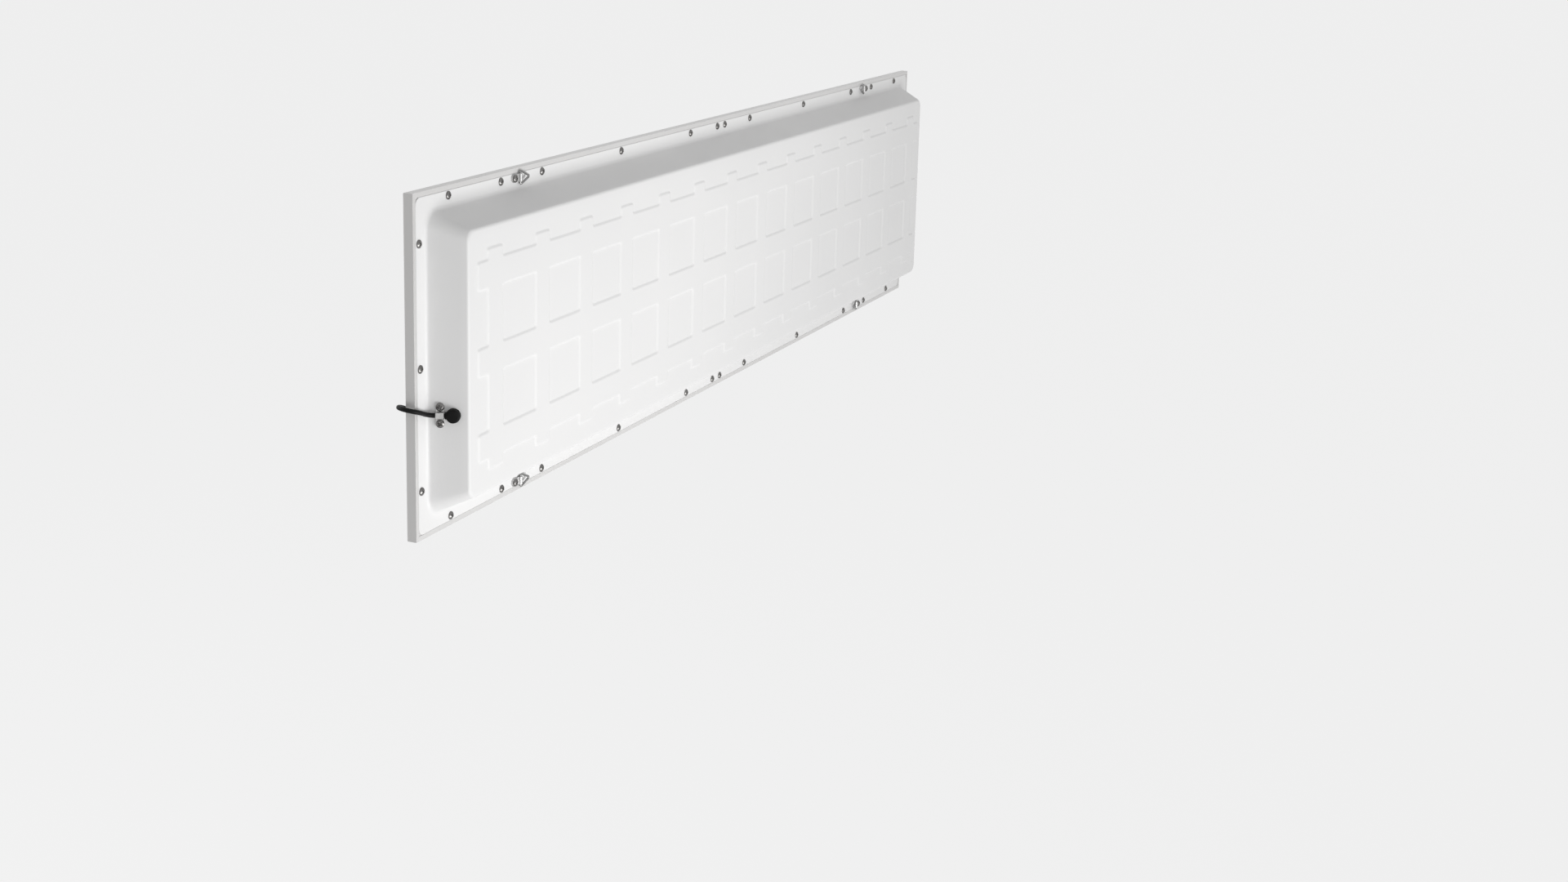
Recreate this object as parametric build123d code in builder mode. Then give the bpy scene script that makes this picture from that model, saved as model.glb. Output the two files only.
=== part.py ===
"""LED ceiling panel light with a pressed steel back pan, folding hanging rings and a short supply lead.

Units are millimetres. X runs along the panel, Z up its short side, and the lit front faces -Y.
The origin is the centre of the front bezel's outer plane, so depth is measured along +Y.
"Inset" always means a distance inward from the panel's outer edge.
"""
from build123d import *
from math import cos, hypot, pi, radians, sin, tan
import os

os.makedirs("parts", exist_ok=True)

# ---------------------------------------------------------------- driving dimensions
panel_length = 1195.0
panel_height = 295.0

# aluminium frame extrusion
frame_depth = 9.5
bezel_width = 20.0
bezel_thickness = 1.3
frame_wall = 1.3
rim_width = 4.2
web_thickness = 1.0
chamber_width = 11.7
bezel_edge_chamfer = 1.0

# corner keys that join the mitres
key_leg = 36.0
key_clearance = 0.15

# opal diffuser and its foam seal
diffuser_thickness = 1.5
diffuser_inset = 5.0
foam_thickness = 0.9
foam_width = 6.0
foam_inset = 6.0
foam_butt_gap = 0.2

# pressed steel back pan
sheet = 0.6
pan_rim_gap = 0.2
flange_corner_radius = 10.0
wall_base_inset = 18.0
plateau_inset = 33.0
pan_depth = 32.0
base_corner_radius = 14.0
plateau_corner_radius = 9.0
pan_bend_radius = 2.0

# raised beads pressed into the plateau
bead_columns = 14
bead_rows = 3
bead_row_margin = 13.45
bead_column_margin = 18.7
bead_width = 24.0
bead_row_tab = 15.8
bead_column_tab = 9.8
bead_height = 1.2
bead_corner_radius = 2.5

# self-tapping screws
screw_radius = 1.45
screw_tip_taper = 0.6
screw_clearance = 0.15
pilot_clearance = 0.05
screw_head_radius = 3.6
screw_head_rim = 0.6
screw_head_height = 2.2
recess_length = 4.0
recess_width = 0.8
recess_depth = 1.1
flange_screw_length = 4.6
screw_inset = 8.6
long_side_screws_from_middle = [9.5, 76.0, 232.0]
long_side_screws_from_corner = [210.5, 138.5, 53.5]
short_side_screw_from_corner = 42.5

# hanging straps and their wire rings
hanger_screw_from_end = 160.5
hanger_screw_to_hinge = 8.4
strap_sheet = 0.8
strap_width = 7.2
strap_tail = 4.6
rounded_end_flat = 0.6
ring_wire_radius = 1.0
ring_running_clearance = 0.08
ring_width = 12.6
ring_reach = 13.5
ring_inner_bend = 0.2
ring_rest_angle = 8.0
hanger_screw_length = 6.0

# light engine: three strips in the three long beads
tape_thickness = 0.2
strip_thickness = 1.0
strip_width = 15.0
strip_end_margin = 10.0
chip_length = 3.5
chip_width = 2.8
chip_height = 0.7
lens_radius = 6.75
lens_height = 5.0
lens_crest_radius = 4.2
lens_dimple_height = 4.2
lens_cavity_radius = 2.6
lens_shoulder = 2.0
reflector_thickness = 0.3
reflector_hole_gap = 1.25
reflector_margin = 3.0
connector_length = 7.0
connector_width = 9.0
connector_height = 3.6
connector_lens_gap = 2.75
connector_hole_gap = 1.0
wire_radius = 0.65
wire_spacing = 2.0
wire_lead = 8.0
wire_bow = 3.0
wire_bend_radius = 4.0

# supply lead, its elbow grommet and its saddle clip on the sloped end wall
cable_radius = 2.0
cable_z = -41.0
cable_wall_gap = 0.15
cable_bend_start = 5.2
grommet_up_wall = 22.0
grommet_radius = 6.2
grommet_height = 6.4
grommet_crown_radius = 2.4
grommet_neck_radius = 3.9
grommet_neck_clearance = 0.1
grommet_lock_radius = 4.9
grommet_lock_thickness = 1.6
nozzle_wall = 1.1
nozzle_length = 6.8
clip_up_wall = 11.0
clip_length = 7.0
clip_sheet = 0.8
clip_gap = 0.5
clip_screw_gap = 0.3
clip_ear = 3.2
clip_screw_length = 4.5

# direct-current plug on the end of the lead
plug_relief_length = 10.0
plug_relief_wall = 1.2
plug_relief_tip_wall = 0.4
plug_grip_radius = 5.0
plug_grip_length = 20.0
plug_grip_fillet = 1.0
plug_barrel_radius = 2.75
plug_barrel_bore = 2.15
plug_barrel_length = 9.5
plug_contact_radius = 1.5
plug_contact_bore = 1.05
plug_contact_recess = 0.8

# ---------------------------------------------------------------- sizes that follow
half_length = panel_length / 2
half_height = panel_height / 2
flange_inset = rim_width + pan_rim_gap
seat_depth = frame_depth - sheet
slot_depth = diffuser_thickness + foam_thickness
mid_web_depth = bezel_thickness + slot_depth
plateau_depth = frame_depth + pan_depth
wall_run = plateau_inset - wall_base_inset
wall_slant = hypot(wall_run, pan_depth)
sheet_offset = sheet * wall_slant / pan_depth
bead_row_span = panel_length - 2 * (plateau_inset + bead_row_margin)
bead_column_span = panel_height - 2 * (plateau_inset + bead_column_margin)
column_pitch = (bead_row_span - bead_width - 2 * bead_row_tab) / (bead_columns - 1)
row_pitch = (bead_column_span - bead_width - 2 * bead_column_tab) / (bead_rows - 1)
bead_floor = plateau_depth + bead_height - sheet
strip_back = bead_floor - tape_thickness
strip_front = strip_back - strip_thickness
strip_length = bead_row_span - 2 * sheet - 2 * strip_end_margin
plateau_inside = plateau_depth - sheet
hinge_height = strap_sheet + ring_wire_radius + ring_running_clearance
long_side_screws = long_side_screws_from_middle + [half_length - x for x in long_side_screws_from_corner]
long_side_offsets = [s * x for x in long_side_screws for s in (-1, 1)]
short_side_screws = [s * (half_height - short_side_screw_from_corner) for s in (-1, 0, 1)]
ring_corner_radius = ring_wire_radius + ring_inner_bend
row_heights = [(row - (bead_rows - 1) / 2) * row_pitch for row in range(bead_rows)]
row_names = ["bottom", "middle", "top"]
last_chip_x = (bead_columns - 1) / 2 * column_pitch
connector_x = last_chip_x + lens_radius + connector_lens_gap + connector_length / 2
reflector_hole_radius = lens_radius + reflector_hole_gap
nozzle_radius = cable_radius + nozzle_wall
clip_arch_inner = cable_radius + clip_gap
clip_arch_outer = clip_arch_inner + clip_sheet
clip_screw_spacing = 2 * (clip_arch_outer + screw_head_radius + clip_screw_gap)


def at_depth(depth):
    """Plane square to Y at this depth: local x is +X, local y is +Z and a negative extrude goes deeper."""
    return Plane.XZ.offset(-depth)


def write(piece, name):
    """Label a finished piece and write its STEP file."""
    piece.part.label = name
    export_step(piece.part, f"parts/{name}.step")


# ---------------------------------------------------------------- frame
def frame_rail(length, screw_offsets):
    """Mitred rail along X with its outer edge on Z = 0 and the panel's middle towards +Z."""
    chamber_far = frame_wall + chamber_width
    with BuildPart() as rail:
        with BuildSketch(Plane.YZ):
            Rectangle(frame_depth, frame_wall, align=(Align.MIN, Align.MIN))
            Rectangle(bezel_thickness, bezel_width, align=(Align.MIN, Align.MIN))
            with Locations((mid_web_depth, 0)):
                Rectangle(web_thickness, chamber_far, align=(Align.MIN, Align.MIN))
            with Locations((seat_depth - web_thickness, 0)):
                Rectangle(web_thickness, chamber_far, align=(Align.MIN, Align.MIN))
            with Locations((mid_web_depth, chamber_far)):
                Rectangle(seat_depth - mid_web_depth, web_thickness, align=(Align.MIN, Align.MIN))
            with Locations((frame_depth, 0)):
                Rectangle(sheet, rim_width, align=(Align.MAX, Align.MIN))
        extrude(amount=length / 2, both=True)
        front_edges = rail.edges().filter_by(Axis.X).group_by(Axis.Y)[0]
        chamfer(front_edges.sort_by(Axis.Z)[0], bezel_edge_chamfer)
        with BuildSketch(Plane.XZ):
            with BuildLine():
                Polyline(
                    (-length / 2, 0),
                    (length / 2, 0),
                    (length / 2 - bezel_width, bezel_width),
                    (bezel_width - length / 2, bezel_width),
                    close=True,
                )
            make_face()
        extrude(amount=-frame_depth, mode=Mode.INTERSECT)
        with BuildSketch(at_depth(seat_depth)):
            with Locations(*[(x, screw_inset) for x in screw_offsets]):
                Circle(screw_radius + pilot_clearance)
        extrude(amount=web_thickness, mode=Mode.SUBTRACT)
    return rail.part


hanger_offsets = [s * (half_length - hanger_screw_from_end) for s in (-1, 1)]
rails = [
    ("frame_rail_bottom", panel_length, long_side_offsets + hanger_offsets, (0, 0, -half_height), 0),
    ("frame_rail_top", panel_length, long_side_offsets + hanger_offsets, (0, 0, half_height), 180),
    ("frame_rail_left", panel_height, short_side_screws, (-half_length, 0, 0), 90),
    ("frame_rail_right", panel_height, short_side_screws, (half_length, 0, 0), -90),
]
for name, length, offsets, place, turn in rails:
    with BuildPart() as placed_rail:
        with Locations(Location(place, (0, turn, 0))):
            add(frame_rail(length, offsets))
    write(placed_rail, name)

# L-shaped keys pressed into the rails' chambers
corners = {
    "bottom_left": (-1, -1),
    "bottom_right": (1, -1),
    "top_left": (-1, 1),
    "top_right": (1, 1),
}
key_thickness = seat_depth - web_thickness - mid_web_depth - web_thickness - 2 * key_clearance
key_outer = frame_wall + key_clearance
key_inner = frame_wall + chamber_width - web_thickness - key_clearance
for corner, (side_x, side_z) in corners.items():
    outline = [
        (key_outer, key_outer),
        (key_leg, key_outer),
        (key_leg, key_inner),
        (key_inner, key_inner),
        (key_inner, key_leg),
        (key_outer, key_leg),
    ]
    with BuildPart() as corner_key:
        with BuildSketch(at_depth(mid_web_depth + web_thickness + key_clearance)):
            with BuildLine():
                Polyline(
                    *[(side_x * (half_length - x), side_z * (half_height - z)) for x, z in outline],
                    close=True,
                )
            make_face()
        extrude(amount=-key_thickness)
    write(corner_key, f"corner_key_{corner}")

# ---------------------------------------------------------------- diffuser and foam seal
with BuildPart() as diffuser_plate:
    with BuildSketch(at_depth(bezel_thickness)):
        Rectangle(panel_length - 2 * diffuser_inset, panel_height - 2 * diffuser_inset)
    extrude(amount=-diffuser_thickness)
write(diffuser_plate, "diffuser_plate")

with BuildPart() as foam_seal:
    side_foam_length = panel_height - 2 * (foam_inset + foam_width)
    with BuildSketch(at_depth(bezel_thickness + diffuser_thickness)):
        with GridLocations(0, panel_height - 2 * foam_inset - foam_width, 1, 2):
            Rectangle(panel_length - 2 * foam_inset, foam_width)
        with GridLocations(panel_length - 2 * foam_inset - foam_width, 0, 2, 1):
            Rectangle(foam_width, side_foam_length - 2 * foam_butt_gap)
    extrude(amount=-foam_thickness)
write(foam_seal, "foam_seal")


# ---------------------------------------------------------------- back pan
def pan_body(wall_inset, low, high, corner_shrink):
    """Tapered tray between two depths, as a solid; its base lies at the given inset from the edge."""
    with BuildPart() as tray:
        with BuildSketch(at_depth(low)):
            RectangleRounded(
                panel_length - 2 * wall_inset,
                panel_height - 2 * wall_inset,
                base_corner_radius - corner_shrink,
            )
        with BuildSketch(at_depth(high)):
            RectangleRounded(
                panel_length - 2 * (wall_inset + wall_run * (high - low) / pan_depth),
                panel_height - 2 * (wall_inset + wall_run * (high - low) / pan_depth),
                plateau_corner_radius - corner_shrink,
            )
        loft()
        plateau_edges = tray.faces().sort_by(Axis.Y)[-1].edges()
        fillet(plateau_edges, pan_bend_radius - corner_shrink)
    return tray.part


def bead_sketch(depth, inset):
    """The pressed grid: columns and rows of raised bars, narrower all round by the inset."""
    with BuildSketch(at_depth(depth)) as beads:
        with GridLocations(0, row_pitch, 1, bead_rows):
            Rectangle(bead_row_span - 2 * inset, bead_width - 2 * inset)
        with GridLocations(column_pitch, 0, bead_columns, 1):
            Rectangle(bead_width - 2 * inset, bead_column_span - 2 * inset)
        fillet(beads.vertices(), bead_corner_radius - inset)
    return beads.sketch


wall_down = Vector(wall_run, -pan_depth, 0).normalized()
wall_out = Vector(pan_depth, wall_run, 0).normalized()
wall_foot = Vector(half_length - wall_base_inset, frame_depth, cable_z)


def on_end_wall(up_wall, height=0.0, across=0.0):
    """Point of the cord end's sloped wall, measured up the slope, off the sheet and across it."""
    return wall_foot - wall_down * up_wall + wall_out * height + Vector(0, 0, across)


def wall_plane(up_wall, height=0.0, across=0.0):
    """Plane lying on the sloped end wall, its normal out of the sheet."""
    return Plane(on_end_wall(up_wall, height, across), x_dir=(0, 0, 1), z_dir=wall_out)


def along_wall_plane(up_wall, height=0.0):
    """Plane across the lead on the end wall: local y is out of the sheet, the normal is up the slope."""
    return Plane(on_end_wall(up_wall, height), x_dir=(0, 0, 1), z_dir=-wall_down)


pan_outer = pan_body(wall_base_inset, frame_depth, plateau_depth, 0)
pan_hollow = pan_body(
    wall_base_inset + sheet_offset - wall_run * sheet / pan_depth,
    seat_depth,
    plateau_inside,
    sheet,
)
flange_screw_spots = [(x, s * (half_height - screw_inset)) for x in long_side_offsets for s in (-1, 1)]
flange_screw_spots += [(s * (half_length - screw_inset), z) for z in short_side_screws for s in (-1, 1)]
hanger_screw_spots = [(x, s * (half_height - screw_inset)) for x in hanger_offsets for s in (-1, 1)]
clip_screw_planes = [
    wall_plane(clip_up_wall, clip_sheet, side * clip_screw_spacing / 2) for side in (-1, 1)
]

with BuildPart() as back_pan:
    with BuildSketch(at_depth(seat_depth)):
        RectangleRounded(
            panel_length - 2 * flange_inset,
            panel_height - 2 * flange_inset,
            flange_corner_radius,
        )
    extrude(amount=-sheet)
    add(pan_outer)
    extrude(bead_sketch(plateau_depth, 0), amount=-bead_height)
    add(pan_hollow, mode=Mode.SUBTRACT)
    extrude(bead_sketch(plateau_inside, sheet), amount=-bead_height, mode=Mode.SUBTRACT)
    with BuildSketch(at_depth(seat_depth)):
        with Locations(*(flange_screw_spots + hanger_screw_spots)):
            Circle(screw_radius + screw_clearance)
    extrude(amount=-sheet, mode=Mode.SUBTRACT)
    with BuildSketch(*clip_screw_planes):
        Circle(screw_radius + screw_clearance)
    extrude(amount=-(clip_sheet + 2 * sheet), mode=Mode.SUBTRACT)
    with BuildSketch(wall_plane(grommet_up_wall)):
        Circle(grommet_neck_radius + grommet_neck_clearance)
    extrude(amount=2 * sheet, both=True, mode=Mode.SUBTRACT)
write(back_pan, "back_pan")


# ---------------------------------------------------------------- screws
def tapping_screw(length):
    """Domed cross-recess screw along Z: the head's underside on the origin, the shank below it."""
    with BuildPart() as screw:
        with BuildSketch(Plane.XZ):
            with BuildLine():
                Polyline(
                    (0, screw_head_height),
                    (0, -length),
                    (screw_radius - screw_tip_taper, -length),
                    (screw_radius, -length + 2 * screw_tip_taper),
                    (screw_radius, 0),
                    (screw_head_radius, 0),
                    (screw_head_radius, screw_head_rim),
                )
                TangentArc((0, screw_head_height), (screw_head_radius, screw_head_rim), tangent=(1, 0))
            make_face()
        revolve(axis=Axis.Z)
        with BuildSketch(Plane.XY.offset(screw_head_height)):
            Rectangle(recess_length, recess_width)
            Rectangle(recess_width, recess_length)
        extrude(amount=-recess_depth, mode=Mode.SUBTRACT)
    return screw.part


def facing_back(x, depth, z):
    """Plane at this point with its normal along +Y."""
    return Plane((x, depth, z), x_dir=(1, 0, 0), z_dir=(0, 1, 0))


with BuildPart() as flange_screws:
    with Locations(*[facing_back(x, frame_depth, z) for x, z in flange_screw_spots]):
        add(tapping_screw(flange_screw_length))
write(flange_screws, "flange_screws")

with BuildPart() as hanger_screws:
    with Locations(*[facing_back(x, frame_depth + 2 * strap_sheet, z) for x, z in hanger_screw_spots]):
        add(tapping_screw(hanger_screw_length))
write(hanger_screws, "hanger_screws")

with BuildPart() as clip_screws:
    with Locations(*clip_screw_planes):
        add(tapping_screw(clip_screw_length))
write(clip_screws, "clip_screws")

# ---------------------------------------------------------------- hanging straps and rings
eye_radius = ring_wire_radius + ring_running_clearance
for corner, (side_x, side_z) in corners.items():
    hinge_x = side_x * (half_length - hanger_screw_from_end - hanger_screw_to_hinge)
    hinge_z = side_z * (half_height - screw_inset)
    hinge_point = Vector(hinge_x, frame_depth + hinge_height, hinge_z)
    strap_end = side_x * (hanger_screw_to_hinge + strap_tail)

    # one strip of steel folded round the ring's straight side, both leaves under the screw
    with BuildPart() as hanger_strap:
        with BuildSketch(Plane.XY.offset(hinge_z)):
            with Locations((hinge_point.X, hinge_point.Y)):
                Circle(eye_radius + strap_sheet)
            with BuildLine():
                Polyline(
                    (hinge_x, frame_depth),
                    (hinge_x + strap_end, frame_depth),
                    (hinge_x + strap_end, frame_depth + 2 * strap_sheet),
                    (hinge_x, frame_depth + 2 * strap_sheet),
                    close=True,
                )
            make_face()
            with Locations((hinge_point.X, hinge_point.Y)):
                Circle(eye_radius, mode=Mode.SUBTRACT)
        extrude(amount=strap_width / 2, both=True)
        tail_edges = hanger_strap.edges().filter_by(Axis.Y).group_by(Axis.X)
        fillet(tail_edges[-1 if side_x > 0 else 0], strap_width / 2 - rounded_end_flat)
        with BuildSketch(at_depth(frame_depth)):
            with Locations((hinge_x + side_x * hanger_screw_to_hinge, hinge_z)):
                Circle(screw_radius + screw_clearance)
        extrude(amount=-2 * strap_sheet, mode=Mode.SUBTRACT)
    write(hanger_strap, f"hanger_strap_{corner}")

    # triangular wire ring, its straight side in the strap's eye and its point towards the middle
    lift = radians(ring_rest_angle)
    reach_dir = Vector(-side_x * cos(lift), sin(lift), 0)
    ring_plane = Plane(hinge_point, x_dir=reach_dir, z_dir=reach_dir.cross(Vector(0, 0, 1)))
    with BuildPart() as hanger_ring:
        with BuildLine(ring_plane) as ring_path:
            FilletPolyline(
                (0, ring_width / 2),
                (0, -ring_width / 2),
                (ring_reach, 0),
                radius=ring_corner_radius,
                close=True,
            )
        with BuildSketch(Plane(ring_path.line @ 0, z_dir=ring_path.line % 0)):
            Circle(ring_wire_radius)
        sweep(path=ring_path.line)
    write(hanger_ring, f"hanger_ring_{corner}")

# ---------------------------------------------------------------- light engine
for row_name, row_z in zip(row_names, row_heights):
    with BuildPart() as led_strip:
        with BuildSketch(at_depth(strip_front)):
            with Locations((0, row_z)):
                Rectangle(strip_length, strip_width)
        extrude(amount=-strip_thickness)
    write(led_strip, f"led_strip_{row_name}")

with BuildPart() as strip_tapes:
    with BuildSketch(at_depth(strip_back)):
        with GridLocations(0, row_pitch, 1, bead_rows):
            Rectangle(strip_length, strip_width)
    extrude(amount=-tape_thickness)
write(strip_tapes, "strip_tapes")

with BuildPart() as led_chips:
    with BuildSketch(at_depth(strip_front - chip_height)):
        with GridLocations(column_pitch, row_pitch, bead_columns, bead_rows):
            Rectangle(chip_length, chip_width)
    extrude(amount=-chip_height)
write(led_chips, "led_chips")

# wide-angle lens: a dimpled dome with a round hollow over the chip
with BuildPart() as one_lens:
    with BuildSketch(Plane.XZ):
        with BuildLine():
            Polyline(
                (lens_cavity_radius, 0),
                (lens_radius, 0),
                (lens_radius, lens_shoulder),
            )
            Spline(
                (lens_radius, lens_shoulder),
                (lens_crest_radius, lens_height),
                (0, lens_dimple_height),
                tangents=((-0.2, 1), (-1, -0.05)),
            )
            Line((0, lens_dimple_height), (0, lens_cavity_radius))
            RadiusArc((0, lens_cavity_radius), (lens_cavity_radius, 0), lens_cavity_radius)
        make_face()
    revolve(axis=Axis.Z)

with BuildPart() as led_lenses:
    lens_spots = [
        Plane((i * column_pitch - last_chip_x, strip_front, z), x_dir=(1, 0, 0), z_dir=(0, -1, 0))
        for i in range(bead_columns)
        for z in row_heights
    ]
    with Locations(*lens_spots):
        add(one_lens.part)
write(led_lenses, "led_lenses")

with BuildPart() as strip_connectors:
    with BuildSketch(at_depth(strip_front)):
        with Locations(*[(connector_x, z) for z in row_heights]):
            Rectangle(connector_length, connector_width)
    extrude(amount=connector_height)
write(strip_connectors, "strip_connectors")

with BuildPart() as reflector_sheet:
    hollow_inset = plateau_inset + sheet_offset + reflector_margin
    with BuildSketch(at_depth(plateau_inside)):
        RectangleRounded(
            panel_length - 2 * hollow_inset,
            panel_height - 2 * hollow_inset,
            plateau_corner_radius - reflector_margin,
        )
        with GridLocations(column_pitch, row_pitch, bead_columns, bead_rows):
            Circle(reflector_hole_radius, mode=Mode.SUBTRACT)
        with Locations(*[(connector_x, z) for z in row_heights]):
            Rectangle(
                connector_length + 2 * connector_hole_gap,
                connector_width + 2 * connector_hole_gap,
                mode=Mode.SUBTRACT,
            )
    extrude(amount=reflector_thickness)
write(reflector_sheet, "reflector_sheet")

# wires: a pair from each strip's connector to the next, and a pair from the lead to the bottom strip
wire_depth = strip_front - connector_height / 2
with BuildPart() as jumper_wires:
    for lower, upper in zip(row_heights[:-1], row_heights[1:]):
        for side in (-1, 1):
            wire_x = connector_x + side * wire_spacing / 2
            with BuildLine() as jumper_path:
                FilletPolyline(
                    (wire_x, wire_depth, lower + connector_width / 2),
                    (wire_x, wire_depth, lower + connector_width / 2 + wire_lead),
                    (wire_x + side * wire_bow, wire_depth, (lower + upper) / 2),
                    (wire_x, wire_depth, upper - connector_width / 2 - wire_lead),
                    (wire_x, wire_depth, upper - connector_width / 2),
                    radius=wire_bend_radius,
                )
            with BuildSketch(Plane(jumper_path.line @ 0, z_dir=jumper_path.line % 0)):
                Circle(wire_radius)
            sweep(path=jumper_path.line)
write(jumper_wires, "jumper_wires")

grommet_inner_height = -(sheet + grommet_lock_thickness)
inlet_x = connector_x + connector_length / 2
with BuildPart() as supply_wires:
    for side in (-1, 1):
        across = side * wire_spacing / 2
        inlet_z = row_heights[0] + across
        with BuildLine() as supply_path:
            FilletPolyline(
                on_end_wall(grommet_up_wall, grommet_inner_height, across),
                on_end_wall(grommet_up_wall, grommet_inner_height - wire_lead - across, across),
                (inlet_x + wire_lead - across, wire_depth, inlet_z),
                (inlet_x, wire_depth, inlet_z),
                radius=wire_bend_radius,
            )
        with BuildSketch(Plane(supply_path.line @ 0, z_dir=supply_path.line % 0)):
            Circle(wire_radius)
        sweep(path=supply_path.line)
write(supply_wires, "supply_wires")

# ---------------------------------------------------------------- grommet and clip
cable_height = cable_radius + cable_wall_gap
with BuildPart() as cable_grommet:
    with BuildSketch(wall_plane(grommet_up_wall)):
        Circle(grommet_radius)
    extrude(amount=grommet_height)
    crown = cable_grommet.faces().filter_by(GeomType.PLANE).sort_by(Axis(on_end_wall(0), wall_out))[-1]
    fillet(crown.edges(), grommet_crown_radius)
    with BuildSketch(along_wall_plane(grommet_up_wall, cable_height)):
        Circle(nozzle_radius)
        Rectangle(2 * nozzle_radius, cable_height, align=(Align.CENTER, Align.MAX))
        with Locations((0, -cable_height)):
            Rectangle(2 * nozzle_radius, nozzle_radius, align=(Align.CENTER, Align.MAX), mode=Mode.SUBTRACT)
    extrude(amount=-nozzle_length)
    with BuildSketch(wall_plane(grommet_up_wall, -sheet)):
        Circle(grommet_neck_radius)
    extrude(amount=sheet)
    with BuildSketch(wall_plane(grommet_up_wall, -sheet)):
        Circle(grommet_lock_radius)
    extrude(amount=-grommet_lock_thickness)
write(cable_grommet, "cable_grommet")

with BuildPart() as cable_clip:
    ear_half = clip_screw_spacing / 2 + clip_ear
    with BuildSketch(along_wall_plane(clip_up_wall, cable_height)):
        Circle(clip_arch_outer)
        Rectangle(2 * clip_arch_outer, cable_height, align=(Align.CENTER, Align.MAX))
        with Locations((0, clip_sheet - cable_height)):
            Rectangle(2 * ear_half, clip_sheet, align=(Align.CENTER, Align.MAX))
        Circle(clip_arch_inner, mode=Mode.SUBTRACT)
        Rectangle(
            2 * clip_arch_inner,
            2 * clip_arch_outer,
            align=(Align.CENTER, Align.MAX),
            mode=Mode.SUBTRACT,
        )
        with Locations((0, -cable_height)):
            Rectangle(
                2 * clip_arch_outer,
                clip_arch_outer,
                align=(Align.CENTER, Align.MAX),
                mode=Mode.SUBTRACT,
            )
    extrude(amount=clip_length / 2, both=True)
    with BuildSketch(*clip_screw_planes):
        Circle(screw_radius + screw_clearance)
    extrude(amount=-clip_sheet, mode=Mode.SUBTRACT)
    ear_edges = cable_clip.edges().filter_by(Axis((0, 0, 0), wall_out)).group_by(Axis.Z)
    fillet(ear_edges[0] + ear_edges[-1], clip_length / 2 - rounded_end_flat)
write(cable_clip, "cable_clip")

# ---------------------------------------------------------------- supply lead
# The lead leaves the grommet under the clip, crosses the flange and the end of the frame,
# and hangs in front of the end rail. All points but the first two are chosen by hand.
lead_route = [
    on_end_wall(grommet_up_wall - nozzle_length, cable_height),
    on_end_wall(cable_bend_start, cable_height),
    Vector(586.2, 12.1, -38.8),
    Vector(594.3, 13.6, -35.4),
    Vector(601.8, 11.3, -32.8),
    Vector(605.2, 4.0, -31.2),
    Vector(602.3, -3.7, -31.0),
    Vector(594.9, -6.9, -32.5),
    Vector(586.0, -5.9, -36.2),
    Vector(577.6, -4.4, -43.8),
    Vector(571.4, -3.4, -56.0),
    Vector(568.4, -4.0, -71.0),
    Vector(567.2, -5.3, -87.0),
]


def arc_radii(route):
    """The largest arc at each inner point of a route: 0.45 of its shorter run over tan(half the turn)."""
    radii = []
    for before, point, after in zip(route, route[1:], route[2:]):
        run_in = point - before
        run_out = after - point
        half_turn = radians(run_in.get_angle(run_out)) / 2
        radii.append(0.45 * min(run_in.length, run_out.length) / tan(half_turn))
    return radii


lead_radii = arc_radii(lead_route)
print("lead arc radii", [round(r, 1) for r in lead_radii])
with BuildPart() as cable:
    with BuildLine() as lead_path:
        FilletPolyline(*lead_route, radius=lead_radii)
    with BuildSketch(Plane(lead_path.line @ 0, z_dir=lead_path.line % 0)):
        Circle(cable_radius)
    sweep(path=lead_path.line)
write(cable, "cable")
lead_length = lead_path.wires()[0].length
swept = pi * cable_radius**2 * lead_length
print("lead length", round(lead_length, 1), "volume ratio", round(cable.part.volume / swept, 5))

# ---------------------------------------------------------------- plug, in line with the lead's last run
plug_start = lead_route[-1]
plug_dir = (lead_route[-1] - lead_route[-2]).normalized()


def plug_plane(along):
    """Plane across the plug, this far from the end of the lead."""
    return Plane(plug_start + plug_dir * along, x_dir=(1, 0, 0), z_dir=plug_dir)


plug_face = plug_relief_length + plug_grip_length
with BuildPart() as plug_body:
    with BuildSketch(plug_plane(0)):
        Circle(cable_radius + plug_relief_tip_wall)
    with BuildSketch(plug_plane(plug_relief_length)):
        Circle(cable_radius + plug_relief_wall)
    loft()
    with BuildSketch(plug_plane(plug_relief_length)):
        Circle(plug_grip_radius)
    extrude(amount=plug_grip_length)
    grip_rims = plug_body.edges().filter_by(GeomType.CIRCLE).group_by(SortBy.RADIUS)[-1]
    fillet(grip_rims, plug_grip_fillet)
write(plug_body, "plug_body")

with BuildPart() as plug_barrel:
    with BuildSketch(plug_plane(plug_face)):
        Circle(plug_barrel_radius)
        Circle(plug_barrel_bore, mode=Mode.SUBTRACT)
    extrude(amount=plug_barrel_length)
write(plug_barrel, "plug_barrel")

with BuildPart() as plug_contact:
    with BuildSketch(plug_plane(plug_face)):
        Circle(plug_contact_radius)
        Circle(plug_contact_bore, mode=Mode.SUBTRACT)
    extrude(amount=plug_barrel_length - plug_contact_recess)
write(plug_contact, "plug_contact")
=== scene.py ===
# %% [markdown]
# # An LED ceiling panel, rebuilt around its CAD frame
#
# The panel is a flat box: four mitred aluminium rails hold a glowing opal plate at the front, and a
# white pressed steel pan closes the back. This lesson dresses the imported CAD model. Pieces whose
# CAD shape is already right keep it and get a finish. Pieces whose real shape is softer than the CAD
# solid, such as pressed sheet, bent wire and a hanging cord, are worked out again as surfaces.
#
# Every length is in metres. X runs along the panel, Z up its short side, and the lit front faces -Y.

# %% Load the frame
import bpy
import bmesh
import numpy as np
from mathutils import Matrix, Vector


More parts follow.
